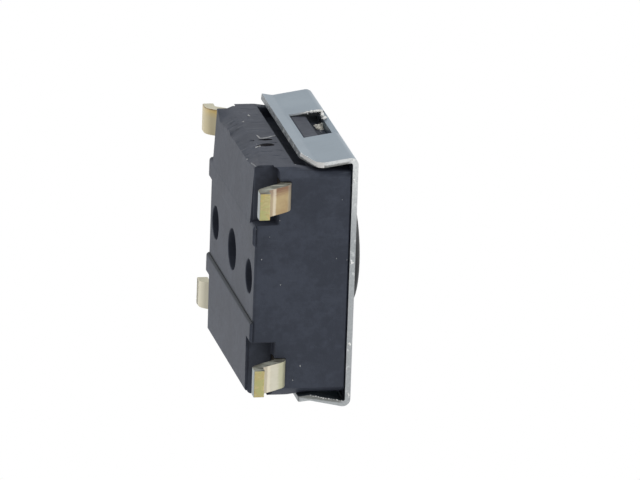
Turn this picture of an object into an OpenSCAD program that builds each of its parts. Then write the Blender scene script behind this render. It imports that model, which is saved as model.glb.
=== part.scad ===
// Surface-mount tactile switch: moulded base, folded sheet cover, sealed round button.
// Millimetres. +Z is the way the button stands and z = 0 is the board under the feet.
// The leads leave along X, and the cover's two flaps fold down along Y.

/* [Base] */
// Body size along the leads
base_x = 6.2; // [6:0.1:6.8]
// Body size across the leads
base_y = 6.2; // [6:0.1:6.8]
// Height of the moulded base, underside to cover seat
base_h = 2.51; // [2.4:0.01:2.8]
// Gap between the board and the underside
standoff = 0.11; // [0.08:0.01:0.2]
// Plastic under the contact sheet
floor_t = 0.61; // [0.5:0.01:0.65]
// Chamfer on the four upright corners
corner_cut = 0.25; // [0.15:0.01:0.35]
// Chamfer along the edges of the underside
edge_cut = 0.05; // [0.02:0.01:0.08]
// Chamfer under the cover at the two ends
seat_cut = 0.06; // [0.02:0.01:0.1]

/* [Underside] */
// Width of each of the two ribs
rib_w = 0.55; // [0.4:0.05:0.7]
// Height of the ribs
rib_h = 0.075; // [0.04:0.005:0.1]
// Distance between the middles of the ribs
rib_pitch = 2.62; // [2.4:0.02:2.9]
// Diameter of the middle core hole
core_mid_d = 1.1; // [0.9:0.05:1.2]
// Diameter of the two outer core holes
core_side_d = 0.9; // [0.7:0.05:1]
// Distance from the middle to an outer core hole
core_reach = 2.35; // [2.2:0.05:2.4]
// Depth of the lead pockets in the two ends
pocket_deep = 0.42; // [0.3:0.02:0.5]
// Distance from the middle to a pocket's inner wall
pocket_y = 1.6; // [1.5:0.05:1.9]
// Rounding of the pockets' upper outer corner
pocket_r = 0.12; // [0.05:0.01:0.2]

/* [Contacts] */
// Sheet thickness of the leads
lead_t = 0.28; // [0.2:0.01:0.3]
// Width of a lead
lead_w = 0.72; // [0.5:0.02:0.8]
// Distance between the two leads of one end
lead_pitch = 4.8; // [4.5:0.05:4.9]
// Length over the lead ends
lead_span = 8.2; // [7.9:0.1:9]
// Straight length of a lead's foot
foot_l = 0.26; // [0.15:0.01:0.35]
// Bend radius of the leads at mid thickness
lead_bend = 0.2; // [0.16:0.01:0.25]
// Straight run of a lead before its first bend
lead_root = 0.03; // [0.01:0.01:0.1]
// Width of the tongue under the dome's middle
tongue_w = 0.9; // [0.6:0.05:1.2]
// Width of the two arms under the dome's rim
arm_w = 0.9; // [0.7:0.05:1]

/* [Dome] */
// Diameter of the snap dome
dome_d = 4.2; // [4:0.05:4.3]
// Height of the dome at rest
dome_h = 0.55; // [0.45:0.01:0.6]
// Sheet thickness of the dome
dome_t = 0.08; // [0.05:0.01:0.1]
// Gap round the dome in its chamber
dome_gap = 0.2; // [0.15:0.01:0.25]

/* [Seal] */
// Width of the ledge that the membrane's rim is clamped on
seal_seat = 0.35; // [0.3:0.01:0.4]
// Height of the membrane's clamped rim
seal_rim_h = 0.42; // [0.3:0.02:0.5]
// Thickness of the membrane's thin web
seal_web_t = 0.14; // [0.1:0.01:0.2]
// Diameter of the pad that bears on the dome
seal_pad_d = 1.8; // [1.4:0.1:2]
// Thickness of that pad
seal_pad_t = 0.25; // [0.2:0.01:0.3]

/* [Button] */
// Diameter of the button
button_d = 3; // [2.6:0.1:3.2]
// Height of the button above the cover
button_up = 0.47; // [0.3:0.01:1]
// Rounding of the button's top edge
button_edge = 0.08; // [0.02:0.01:0.15]
// Width of the flange that keeps the button in, past its side
flange_out = 0.35; // [0.25:0.05:0.4]
// Thickness of that flange
flange_h = 0.28; // [0.2:0.02:0.35]
// Diameter of the foot that presses the pad
foot_d = 1.4; // [1:0.1:1.4]
// Gap round the button in the cover
button_gap = 0.08; // [0.05:0.01:0.15]
// Play between the flange and the cover
flange_play = 0.02; // [0.01:0.01:0.05]

/* [Cover] */
// Sheet thickness of the cover
cover_t = 0.145; // [0.1:0.005:0.16]
// How far the cover stands past the base at each end
cover_over = 0.025; // [0:0.005:0.05]
// How far a flap's outside stands past the base's side
flap_stand = 0.28; // [0.25:0.01:0.32]
// Drop of the flaps below the cover's top
flap_drop = 1.4; // [1.3:0.02:1.5]
// Inward lean of the flaps
flap_lean = 9; // [6:1:12]
// How much further the flap at -Y was pressed in
flap_press = 3; // [0:0.5:4]
// Bend radius at the top of the flaps at mid thickness
flap_bend = 0.125; // [0.1:0.005:0.2]
// Straight length of the flared lip
lip_l = 0.25; // [0.2:0.01:0.3]
// Outward flare of the lip
lip_flare = 10; // [6:1:16]
// Bend radius between flap and lip at mid thickness
lip_bend = 0.3; // [0.2:0.05:0.5]
// Length of the slanted cut at one end of each lip, opposite ends on the two flaps
lip_cut = 0.9; // [0.4:0.05:1.2]
// Rounding of the corner at the other end of each lip
lip_round = 0.07; // [0.03:0.01:0.2]
// Height over the flap's valley where the slanted cut starts to round off
lip_ease = 0.25; // [0.05:0.01:0.3]
// Width of the snap window in a flap
window_w = 2.1; // [1.8:0.1:2.6]
// Distance from the flap's middle to the window's, away from the slanted cut
window_shift = 0.22; // [0:0.02:0.4]
// Distance from the flap's valley up to the window
window_up = 0.08; // [0.05:0.01:0.15]
// Angle round the bend where the window ends
window_end = 45; // [30:5:55]

/* [Snap lugs] */
// Height of the flat of a lug
lug_h = 0.4; // [0.3:0.02:0.5]
// Height of the lead-in ramp over that flat
lug_ramp = 0.14; // [0.1:0.02:0.25]
// Gap between a lug and the edge of its window
lug_gap = 0.04; // [0.02:0.01:0.08]
// Depth of a lug's face below the flap's outside
lug_sink = 0.03; // [0.01:0.01:0.06]
// Gap between a flap and the base behind it
flap_gap = 0.1; // [0.06:0.01:0.14]
// Length of the relief in the base past the end of a lip
lip_relief = 0.2; // [0.1:0.02:0.4]
// Depth of the groove behind a lip, below the recess behind the flap
groove_deep = 0.2; // [0.1:0.01:0.24]
// Distance from the base's ends to the groove
groove_end = 0.5; // [0.4:0.02:0.8]

/* [Hidden] */
$fn = 64;
bend_steps = 8;
eps = 0.01;

base_top = standoff + base_h;
cover_top = base_top + cover_t;
sheet_z = standoff + floor_t;
chamber_z = sheet_z + lead_t;
lead_y = lead_pitch / 2;
arm_x = dome_d / 2;
chamber_d = dome_d + 2 * dome_gap;
seal_d = chamber_d + 2 * seal_seat;

// Cover section, from the middle of the plate to the tip of a flap
flap_y = base_y / 2 + flap_stand;
plate_run = flap_y - flap_bend - cover_t / 2;
bend_z = cover_top - cover_t / 2 - flap_bend;
lip_turn = flap_lean + lip_flare;
lip_arc_z = lip_bend * (sin(flap_lean) + sin(lip_flare));
flap_arc_z = flap_bend * (1 + sin(flap_lean)) + cover_t / 2;
lip_end_z = lip_l * cos(lip_flare) + cover_t / 2 * sin(lip_flare);
flap_run = (flap_drop - flap_arc_z - lip_arc_z - lip_end_z) / cos(flap_lean);
function flap_path(lean) = [[plate_run, -90 - lean, flap_bend], [flap_run, lip_turn, lip_bend], [lip_l, 0, 0]];
valley_z = cover_top - flap_drop + lip_end_z + lip_bend * sin(lip_flare);
tip_z = cover_top - flap_drop;
valley_mid_y = plate_run + flap_bend * cos(flap_lean) - flap_run * sin(flap_lean)
    - lip_bend * (1 - cos(flap_lean));
recess_y = valley_mid_y - cover_t / 2 - flap_gap;
lug_y = valley_mid_y + cover_t / 2 - lug_sink;
window_z = valley_z + window_up;
shelf_z = tip_z - lip_relief;

// Lead section, from inside the base to the lead's end. Two equal bends join the root to the foot,
// and their angle follows from how far the lead has to reach out and drop.
lead_reach = lead_span / 2 - base_x / 2 - lead_root - foot_l;
lead_fall = sheet_z - 2 * lead_bend;
lead_angle = atan2(lead_fall, lead_reach) + asin(2 * lead_bend / norm([lead_reach, lead_fall]));
lead_slope = (lead_fall + 2 * lead_bend * cos(lead_angle)) / sin(lead_angle);
lead_path = [[pocket_deep + lead_root, -lead_angle, lead_bend], [lead_slope, lead_angle, lead_bend], [foot_l, 0, 0]];

// Stack of the moving pieces, from the dome up
pad_z = chamber_z + dome_h;
foot_z = pad_z + seal_pad_t;
flange_z = base_top - flange_play - flange_h;
ledge_z = base_top - seal_rim_h;
button_top = cover_top + button_up;

function normal(a) = [-sin(a), cos(a)];
function tail(list) = [for (i = [1:len(list) - 1]) list[i]];
function turned(list) = [for (i = [len(list) - 1:-1:0]) list[i]];
function mirrored(list) = [for (p = list) [-p.x, p.y]];
function between(p, q, t) = p + (q - p) * t;

// Smooth curve from a to c that sets off towards b
function swept(a, b, c) = [
    for (k = [0:bend_steps])
        let (t = k / bend_steps)
            between(between(a, b, t), between(b, c, t), t)
];

// One side of a strip bent from straight runs and arcs, at a distance from its middle line.
// Each step of the path is [straight run, turn, radius at mid thickness].
function strip_side(path, off, i = 0, p = [0, 0], a = 0) =
    i == len(path) ? [] :
    let (
        turn = path[i][1],
        hand = sign(turn),
        q = p + path[i][0] * [cos(a), sin(a)],
        c = q + hand * path[i][2] * normal(a),
        arc = turn == 0 ? [] : [
            for (k = [1:bend_steps])
                let (b = a + turn * k / bend_steps)
                    c + (off - hand * path[i][2]) * normal(b)
        ],
        next = c - hand * path[i][2] * normal(a + turn)
    )
    concat(i == 0 ? [p + off * normal(a)] : [], [q + off * normal(a)], arc,
        strip_side(path, off, i + 1, next, a + turn));

// Extrude a section drawn in Y and Z along X
module along_x(length) {
    rotate([90, 0, 90])
        linear_extrude(length, center = true)
            children();
}

// Extrude a section drawn in X and Z along Y
module along_y(length) {
    rotate([90, 0, 0])
        linear_extrude(length, center = true)
            children();
}

module both_y() {
    children();
    mirror([0, 1, 0])
        children();
}

// The two flaps are alike when the switch is turned half round
module both_turns() {
    for (turn = [0, 180])
        rotate([0, 0, turn])
            children();
}

module both_x() {
    children();
    mirror([1, 0, 0])
        children();
}

// Formed lead, from its root in the base to its foot on the board
module lead() {
    translate([base_x / 2 - pocket_deep, lead_y, sheet_z + lead_t / 2])
        along_y(lead_w)
            polygon(concat(strip_side(lead_path, lead_t / 2), turned(strip_side(lead_path, -lead_t / 2))));
}

// Bar that joins the two leads of one stamping
module lead_bar() {
    translate([0, lead_y])
        square([base_x - 2 * pocket_deep + 2 * eps, lead_w], center = true);
}

module centre_stamping() {
    both_x()
        lead();
    translate([0, 0, sheet_z])
        linear_extrude(lead_t) {
            lead_bar();
            translate([-tongue_w / 2, 0])
                square([tongue_w, lead_y]);
            circle(d = tongue_w);
        }
}

module rim_stamping() {
    mirror([0, 1, 0]) {
        both_x()
            lead();
        translate([0, 0, sheet_z])
            linear_extrude(lead_t) {
                lead_bar();
                both_x()
                    translate([arm_x, 0]) {
                        translate([-arm_w / 2, 0])
                            square([arm_w, lead_y]);
                        circle(d = arm_w);
                    }
            }
    }
}

// Outside of the moulding: full below the flaps, drawn in behind them
module base_blank() {
    half = [
        [base_y / 2 - edge_cut, standoff],
        [base_y / 2, standoff + edge_cut],
        [base_y / 2, shelf_z],
        [recess_y, valley_z],
        [recess_y, base_top]
    ];
    bx = base_x / 2;
    by = base_y / 2;
    end = [
        [bx - edge_cut, standoff], [bx, standoff + edge_cut],
        [bx, base_top - seat_cut], [bx - seat_cut, base_top]
    ];
    intersection() {
        along_x(base_x)
            polygon(concat(half, turned(mirrored(half))));
        along_y(base_y)
            polygon(concat(end, turned(mirrored(end))));
        linear_extrude(base_top)
            polygon([
                [bx - corner_cut, -by], [bx, corner_cut - by], [bx, by - corner_cut], [bx - corner_cut, by],
                [corner_cut - bx, by], [-bx, by - corner_cut], [-bx, corner_cut - by], [corner_cut - bx, -by]
            ]);
    }
}

// Lug that snaps into a flap's window, with a ramp for the flap to ride over
module snap_lug() {
    z0 = window_z + lug_gap;
    translate([window_shift, 0, 0])
        along_x(window_w - 2 * lug_gap)
            polygon([
                [recess_y - eps, z0], [lug_y, z0], [lug_y, z0 + lug_h],
                [recess_y, z0 + lug_h + lug_ramp], [recess_y - eps, z0 + lug_h + lug_ramp]
            ]);
}

// Groove that leaves room for prising a flap's lip off its lug
module lip_groove() {
    y = recess_y - groove_deep;
    along_x(base_x - 2 * groove_end)
        translate([y, shelf_z])
            square([base_y / 2 - y + eps, valley_z - shelf_z]);
}

module underside_rib() {
    y = rib_pitch / 2;
    along_x(base_x)
        polygon([
            [y - rib_w / 2, standoff + eps], [y - rib_w / 2, standoff - rib_h + edge_cut],
            [y - rib_w / 2 + edge_cut, standoff - rib_h], [y + rib_w / 2 - edge_cut, standoff - rib_h],
            [y + rib_w / 2, standoff - rib_h + edge_cut], [y + rib_w / 2, standoff + eps]
        ]);
}

module lead_pocket() {
    w = base_y / 2 - pocket_y;
    translate([base_x / 2 + eps - pocket_deep / 2, pocket_y, standoff])
        along_x(pocket_deep + 2 * eps) {
            translate([0, -eps])
                square([w + eps, floor_t - pocket_r + eps]);
            square([w - pocket_r, floor_t]);
            translate([w - pocket_r, floor_t - pocket_r])
                circle(pocket_r);
        }
}

module core_hole(x, d) {
    translate([x, 0, standoff - eps])
        cylinder(d = d, h = floor_t + eps);
}

module base() {
    color("#2b2d30")
        difference() {
            union() {
                base_blank();
                both_turns()
                    snap_lug();
                both_y()
                    underside_rib();
            }
            translate([0, 0, chamber_z])
                cylinder(d = chamber_d, h = base_top);
            translate([0, 0, ledge_z])
                cylinder(d = seal_d, h = base_top);
            both_x()
                both_y()
                    lead_pocket();
            both_turns()
                lip_groove();
            core_hole(0, core_mid_d);
            both_x()
                core_hole(core_reach, core_side_d);
            centre_stamping();
            rim_stamping();
        }
}

module centre_contact() {
    color("#d8cfb4")
        centre_stamping();
}

module rim_contact() {
    color("#d8cfb4")
        rim_stamping();
}

// Spherical cap of thin sheet, standing on its rim
module snap_dome() {
    rim_r = dome_d / 2;
    rise = dome_h - dome_t;
    ball_r = (rim_r * rim_r + rise * rise) / (2 * rise);
    span = asin(rim_r / ball_r);
    arc = [for (k = [0:bend_steps]) span * k / bend_steps];
    ball_z = chamber_z + rise - ball_r;
    color("#c9c9c6")
        rotate_extrude()
            polygon(concat(
                [for (a = arc) [ball_r * sin(a), ball_z + ball_r * cos(a)]],
                [for (a = turned(arc)) [ball_r * sin(a), ball_z + ball_r * cos(a) + dome_t]]
            ));
}

// Rubber cup: clamped rim, thin sloping web, pad on the dome
module seal_membrane() {
    rim_r = seal_d / 2;
    web_r = chamber_d / 2;
    pad_r = seal_pad_d / 2;
    color("#5a5c5e")
        rotate_extrude()
            polygon([
                [0, pad_z], [pad_r, pad_z], [web_r, ledge_z], [rim_r, ledge_z], [rim_r, base_top],
                [web_r, base_top], [web_r, ledge_z + seal_web_t], [pad_r, pad_z + seal_web_t],
                [pad_r, foot_z], [0, foot_z]
            ]);
}

module button() {
    r = button_d / 2;
    flange_r = r + flange_out;
    edge = [
        for (k = [0:bend_steps])
            let (a = 90 * k / bend_steps)
                [r - button_edge * (1 - cos(a)), button_top - button_edge * (1 - sin(a))]
    ];
    color("#26282a")
        rotate_extrude()
            polygon(concat(
                [[0, foot_z], [foot_d / 2, foot_z], [foot_d / 2, flange_z], [flange_r, flange_z],
                    [flange_r, flange_z + flange_h], [r, flange_z + flange_h]],
                edge, [[0, button_top]]
            ));
}

// Folded sheet: plate, two leaning flaps with flared lips
module cover_sheet() {
    free = flap_path(flap_lean);
    pressed = flap_path(flap_lean + flap_press);
    translate([0, 0, cover_top - cover_t / 2])
        along_x(base_x + 2 * cover_over)
            polygon(concat(
                turned(mirrored(tail(strip_side(pressed, cover_t / 2)))),
                tail(strip_side(free, cover_t / 2)),
                turned(tail(strip_side(free, -cover_t / 2))),
                mirrored(tail(strip_side(pressed, -cover_t / 2)))
            ));
}

// Window punched square to the sheet, from above the valley into the bend
module flap_window() {
    reach = cover_t + flap_bend + flap_stand;
    translate([window_shift, 0, 0])
        along_x(window_w)
            polygon([
                [plate_run, bend_z], [plate_run + reach * cos(window_end), bend_z + reach * sin(window_end)],
                [flap_y + reach, window_z], [recess_y, window_z]
            ]);
}

// Corners taken off the free end of a lip: a long eased cut at -X, a plain rounding at +X
module lip_corners() {
    x = base_x / 2 + cover_over;
    translate([0, flap_y, 0])
        along_y(2 * flap_stand + 2 * cover_t) {
            polygon(concat(
                [[-x - eps, valley_z + lip_ease]],
                swept([-x, valley_z + lip_ease], [-x, valley_z], [lip_cut - x, tip_z]),
                [[lip_cut - x, tip_z - eps], [-x - eps, tip_z - eps]]
            ));
            polygon(concat(
                [[x + eps, tip_z + lip_round]],
                swept([x, tip_z + lip_round], [x, tip_z], [x - lip_round, tip_z]),
                [[x - lip_round, tip_z - eps], [x + eps, tip_z - eps]]
            ));
        }
}

module cover() {
    color("#b4bcc4")
        difference() {
            cover_sheet();
            translate([0, 0, base_top - eps])
                cylinder(d = button_d + 2 * button_gap, h = cover_t + 2 * eps);
            both_turns() {
                flap_window();
                lip_corners();
            }
        }
}

base();
centre_contact();
rim_contact();
snap_dome();
seal_membrane();
button();
cover();
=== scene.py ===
import math

import bmesh
import bpy
from mathutils import Matrix, Vector, noise


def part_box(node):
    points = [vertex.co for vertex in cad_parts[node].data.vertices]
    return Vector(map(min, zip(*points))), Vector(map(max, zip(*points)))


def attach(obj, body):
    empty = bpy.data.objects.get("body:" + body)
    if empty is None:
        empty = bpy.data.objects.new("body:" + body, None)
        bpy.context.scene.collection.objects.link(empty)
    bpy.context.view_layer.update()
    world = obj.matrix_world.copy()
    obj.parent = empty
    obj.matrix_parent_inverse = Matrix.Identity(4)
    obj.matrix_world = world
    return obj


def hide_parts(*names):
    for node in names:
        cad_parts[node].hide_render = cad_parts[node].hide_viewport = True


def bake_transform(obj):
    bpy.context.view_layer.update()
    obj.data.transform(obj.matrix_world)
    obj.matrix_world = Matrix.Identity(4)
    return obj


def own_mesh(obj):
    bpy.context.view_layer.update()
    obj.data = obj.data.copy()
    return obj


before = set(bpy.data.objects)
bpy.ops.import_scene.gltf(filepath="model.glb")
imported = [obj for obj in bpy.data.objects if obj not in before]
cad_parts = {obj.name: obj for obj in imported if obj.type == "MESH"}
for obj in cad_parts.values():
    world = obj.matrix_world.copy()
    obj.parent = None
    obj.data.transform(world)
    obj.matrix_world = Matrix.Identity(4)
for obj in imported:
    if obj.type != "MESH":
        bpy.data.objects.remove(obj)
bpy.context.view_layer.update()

mm = 0.001  # sizes in the dictionaries are millimetres, Blender's are metres


# node trees

class Wire:
    # one output socket, so that node maths reads as plain arithmetic
    def __init__(self, maker, socket):
        self.maker = maker
        self.socket = socket

    def other(self, name):
        # another output of the same node
        return Wire(self.maker, self.socket.node.outputs[name])

    def maths(self, operation, other, swapped=False):
        first, second = (other, self) if swapped else (self, other)
        return self.maker.node("ShaderNodeMath", {"operation": operation}, {0: first, 1: second})

    def __add__(self, other):
        return self.maths("ADD", other)

    def __sub__(self, other):
        return self.maths("SUBTRACT", other)

    def __rsub__(self, other):
        return self.maths("SUBTRACT", other, True)

    def __mul__(self, other):
        return self.maths("MULTIPLY", other)

    def __pow__(self, other):
        return self.maths("POWER", other)

    def __abs__(self):
        return self.maker.node("ShaderNodeMath", {"operation": "ABSOLUTE"}, {0: self})

    __radd__ = __add__
    __rmul__ = __mul__


class NodeMaker:
    def __init__(self, tree):
        self.tree = tree

    def node(self, kind, settings=None, sockets=None, out=0):
        made = self.tree.nodes.new(kind)
        for name, value in (settings or {}).items():
            if name == "stops":
                fillRamp(made.color_ramp, value)
            else:
                setattr(made, name, value)
        for key, value in (sockets or {}).items():
            if isinstance(value, Wire):
                self.tree.links.new(value.socket, made.inputs[key])
            else:
                made.inputs[key].default_value = value
        return Wire(self, made.outputs[out]) if len(made.outputs) else made

    def vector(self, operation, first, second, out=0):
        key = "Scale" if operation == "SCALE" else 1
        return self.node("ShaderNodeVectorMath", {"operation": operation}, {0: first, key: second}, out)

    def step(self, value, low, high):
        # 0 below the range, 1 above it and smooth between
        return self.node("ShaderNodeMapRange", {"interpolation_type": "SMOOTHSTEP"},
                         {"Value": value, "From Min": low, "From Max": high})


def fillRamp(ramp, stops):
    while len(ramp.elements) < len(stops):
        ramp.elements.new(1.0)
    for element, (place, colour) in zip(ramp.elements, stops):
        element.position = place
        element.color = (*colour, 1.0)


class Finish(NodeMaker):
    # a material whose patterns are drawn on Object coordinates in millimetres
    def __init__(self, name):
        self.material = bpy.data.materials.new(name)
        self.material.use_nodes = True
        self.material.node_tree.nodes.clear()
        super().__init__(self.material.node_tree)
        self.point = self.vector("SCALE", self.node("ShaderNodeTexCoord", out="Object"), 1 / mm)

    def axis(self, letter):
        return self.node("ShaderNodeSeparateXYZ", {}, {0: self.point}, letter)

    def stretched(self, x, y, z):
        return self.vector("MULTIPLY", self.point, (x, y, z))

    def grain(self, scale, detail=2.0, rough=0.5, point=None):
        sockets = {"Vector": point or self.point, "Scale": scale, "Detail": detail, "Roughness": rough}
        return self.node("ShaderNodeTexNoise", {}, sockets)

    def ramp(self, value, stops):
        return self.node("ShaderNodeValToRGB", {"stops": stops}, {"Fac": value})

    def mix(self, factor, first, second):
        first = first if isinstance(first, Wire) else (*first, 1.0)
        second = second if isinstance(second, Wire) else (*second, 1.0)
        return self.node("ShaderNodeMix", {"data_type": "RGBA"}, {0: factor, 6: first, 7: second}, 2)

    def bump(self, height, strength, depth):
        sockets = {"Height": height, "Strength": strength, "Distance": depth * mm}
        return self.node("ShaderNodeBump", {}, sockets)

    def surface(self, sockets):
        shader = self.node("ShaderNodeBsdfPrincipled", {}, sockets)
        self.node("ShaderNodeOutputMaterial", {}, {"Surface": shader})
        return self.material


class Growth(NodeMaker):
    # a geometry tree with named inputs
    def __init__(self, name, numbers):
        super().__init__(bpy.data.node_groups.new(name, "GeometryNodeTree"))
        sides = self.tree.interface
        sides.new_socket("Geometry", in_out="INPUT", socket_type="NodeSocketGeometry")
        for label in numbers:
            sides.new_socket(label, in_out="INPUT", socket_type="NodeSocketFloat")
        sides.new_socket("Geometry", in_out="OUTPUT", socket_type="NodeSocketGeometry")

    def given(self, label):
        return self.node("NodeGroupInput", out=label)

    def chance(self, low, high, seed):
        sockets = {0: low, 1: high, "Seed": seed}
        return self.node("FunctionNodeRandomValue", {"data_type": "FLOAT_VECTOR"}, sockets)

    def drifted(self, shape, scale, amount):
        # every point moved by the noise at its place
        colour = self.node("ShaderNodeTexNoise", {}, {"Scale": scale}, "Color")
        drift = self.vector("SCALE", self.vector("SUBTRACT", colour, (0.5, 0.5, 0.5)), amount)
        return self.node("GeometryNodeSetPosition", {}, {"Geometry": shape, "Offset": drift})

    def finish(self, shape, material):
        whole = self.node("GeometryNodeRealizeInstances", {}, {"Geometry": shape})
        coated = self.node("GeometryNodeSetMaterial", {}, {"Geometry": whole, "Material": material})
        self.node("NodeGroupOutput", {}, {"Geometry": coated})
        return self.tree


# finishes of the mouldings

# grain that they share: noise scales per millimetre, places, then levels of the noise
mouldedGrain = {
    "cloud": 0.9, "fine": 26.0, "blotch": 5.0, "wear": 1.1,
    "drag": (9.0, 9.0, 1.7),  # marks drawn out along Z
    "sides": (2.7, 3.0),  # distance from the middle, along Y, where the rubbed sides start
    "wornLevel": (0.42, 0.62), "scuffLevel": (0.54, 0.72),
    "streakLevel": (0.30, 0.46), "paleLevel": (0.40, 0.61),
    "relief": 0.008, "specular": 0.56,
}

plasticLook = {
    "dark": (0.032, 0.035, 0.049),
    "pale": (0.045, 0.050, 0.069),
    "scuff": (0.095, 0.108, 0.130),
    "streakAndShade": (0.014, 0.015, 0.018),
    "roughness": 0.52,
    "sheen": (0.72, 0.84, 1.0),
    # painted shade along the foot of the lower rib, darkening the corner there
    "ribFootShade": {"y": -1.035, "reach": (0.0375, 0.075), "top": (0.125, 0.1375)},
}
buttonLook = {"dark": (0.030, 0.031, 0.033), "pale": (0.040, 0.041, 0.043), "scuff": (0.07, 0.07, 0.07),
              "streakAndShade": (0.02, 0.02, 0.02), "roughness": 0.5, "sheen": (1, 1, 1)}
sealLook = {"dark": (0.05, 0.05, 0.052), "pale": (0.08, 0.08, 0.082), "scuff": (0.11, 0.11, 0.11),
            "streakAndShade": (0.04, 0.04, 0.04), "roughness": 0.62, "sheen": (1, 1, 1)}
# painted shade: near black and dull, for the walls of the deep gouges where shade falls
gougeShadeLook = {"dark": (0.009, 0.009, 0.011), "pale": (0.018, 0.018, 0.022), "scuff": (0.03, 0.03, 0.03),
            "streakAndShade": (0.006, 0.006, 0.006), "roughness": 0.8, "sheen": (0.3, 0.3, 0.3)}
dustLook = {"dark": (0.36, 0.37, 0.38), "pale": (0.62, 0.63, 0.62), "scuff": (0.6, 0.6, 0.58),
            "streakAndShade": (0.15, 0.15, 0.15), "roughness": 0.7, "sheen": (1, 1, 1)}
# grey burrs at the underside's edge, and on the lug a pale ridge that is a painted highlight
burrAndHighlightLook = {"dark": (0.20, 0.21, 0.23), "pale": (0.36, 0.37, 0.39), "scuff": (0.5, 0.5, 0.5),
            "streakAndShade": (0.08, 0.08, 0.08), "roughness": 0.6, "sheen": (1, 1, 1)}
# painted light: paler than the flake's own ivory, so that it stays bright in the shade of the window
litFlakeLook = {"dark": (0.70, 0.68, 0.60), "pale": (0.88, 0.86, 0.79), "scuff": (0.9, 0.88, 0.8),
             "streakAndShade": (0.4, 0.38, 0.3), "roughness": 0.6, "sheen": (1, 1, 1)}


def mouldedPlastic(name, look):
    f = Finish(name)
    cloud = f.grain(mouldedGrain["cloud"], 3.0)
    fine = f.grain(mouldedGrain["fine"], 4.0, 0.6)
    blotch = f.grain(mouldedGrain["blotch"], 3.0, 0.6)
    drag = f.grain(1.0, 3.0, 0.6, f.stretched(*mouldedGrain["drag"]))
    rubbed = 0.25 + 0.75 * f.step(abs(f.axis("Y")), *mouldedGrain["sides"])
    worn = f.step(f.grain(mouldedGrain["wear"], 2.0), *mouldedGrain["wornLevel"]) * rubbed
    scuffed = f.step(drag, *mouldedGrain["scuffLevel"]) * worn
    streaked = (1 - f.step(drag, *mouldedGrain["streakLevel"])) * worn
    paled = f.step(cloud * 0.5 + blotch * 0.5, *mouldedGrain["paleLevel"])
    colour = f.mix(paled, look["dark"], look["pale"])
    colour = f.mix(scuffed * 0.5, colour, look["scuff"])
    colour = f.mix(streaked * 0.5, colour, look["streakAndShade"])
    # painted shade: the corner at the foot of the lower rib is darkened towards the darkest streak tone
    if "ribFootShade" in look:
        ribFootShade = look["ribFootShade"]
        away = abs(f.axis("Y") - ribFootShade["y"]) + fine * 0.02
        footShadeMask = (1 - f.step(away, *ribFootShade["reach"])) * (1 - f.step(f.axis("Z"), *ribFootShade["top"]))
        colour = f.mix(footShadeMask, colour, look["streakAndShade"])
    height = fine + blotch * 0.8 + scuffed * 0.8 - streaked * 1.2
    rough = look["roughness"] + fine * 0.14 - scuffed * 0.10 + streaked * 0.14
    relief = f.bump(height, 0.4, mouldedGrain["relief"])
    return f.surface({"Base Color": colour, "Roughness": rough, "Normal": relief,
                      "Specular IOR Level": mouldedGrain["specular"], "Specular Tint": (*look["sheen"], 1.0)})


# finishes of the cover and the dome

# rolling marks and scratches, fine across X and long along Y and Z
rolledGrain = {
    "marks": (26.0, 0.8, 0.8), "scratches": (40.0, 1.6, 1.6), "cloud": 0.8,
    "scratchLevel": (0.68, 0.74), "brightLevel": (0.34, 0.66),
    "roughness": 0.34, "relief": 0.004,
}

steelLook = {"bright": (0.335, 0.400, 0.457), "dull": (0.288, 0.349, 0.404)}
domeLook = {"bright": (0.66, 0.65, 0.61), "dull": (0.52, 0.51, 0.48)}


def satinSteel(name, look):
    f = Finish(name)
    rolled = f.grain(1.0, 4.0, 0.65, f.stretched(*rolledGrain["marks"]))
    cloud = f.grain(rolledGrain["cloud"], 3.0)
    line = f.grain(1.0, 2.0, 0.5, f.stretched(*rolledGrain["scratches"]))
    scratch = f.step(line, *rolledGrain["scratchLevel"])
    brightened = f.step(cloud * 0.6 + rolled * 0.4, *rolledGrain["brightLevel"])
    colour = f.mix(brightened, look["dull"], look["bright"])
    rough = rolledGrain["roughness"] + rolled * 0.12 - scratch * 0.1
    relief = f.bump(rolled + scratch * 0.5, 0.12, rolledGrain["relief"])
    return f.surface({"Base Color": colour, "Metallic": 1.0, "Roughness": rough, "Normal": relief})


# torn metal of the cover's cuts: noise scales per millimetre, then levels of the noise
cutGrain = {
    "sheared": 18.0, "punched": 14.0, "glintFleck": 4.5,
    "brightLevel": (0.3, 0.7), "fleckLevel": (0.58, 0.70), "glintLevel": (0.35, 0.5),
    "metallic": 0.7, "roughness": 0.35, "relief": 0.012,
}

# a leaning face: distance from the middle at Z 0, and how far it leans out for each millimetre up
flapFace = {"outer": 2.972, "lean": 0.161}
slantFace = {"outer": 3.71, "lean": -0.30}

# straight cut edges, with a painted highlight along a stretch of one axis
endLook = {
    "bright": (0.61, 0.64, 0.65), "dull": (0.51, 0.54, 0.56), "glint": (0.89, 0.92, 0.92),
    "shineAxis": "Y", "shine": (1.10, 3.30),
    # darker inner part of a flap's end: depth under the outer face, distance from the middle, top
    "flank": {"depth": (0.10, 0.15), "start": (2.85, 2.95), "top": (2.45, 2.60), "tone": (0.26, 0.27, 0.26)},
}
# painted highlight: near white, barely metallic and shining everywhere, so that the burrs and specks show as
# glints from every side
burrGlintLook = {
    "bright": (0.86, 0.89, 0.90), "dull": (0.62, 0.65, 0.67), "glint": (0.97, 0.97, 0.95),
    "shineAxis": "Z", "shine": (0.5, 1.0),
}
# the lip's free edge: dark, with a painted highlight along a stretch of Z
lipLook = {
    "bright": (0.34, 0.37, 0.40), "dull": (0.07, 0.08, 0.09), "glint": (0.62, 0.63, 0.62),
    "shineAxis": "Z", "shine": (1.35, 1.60),
}

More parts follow.
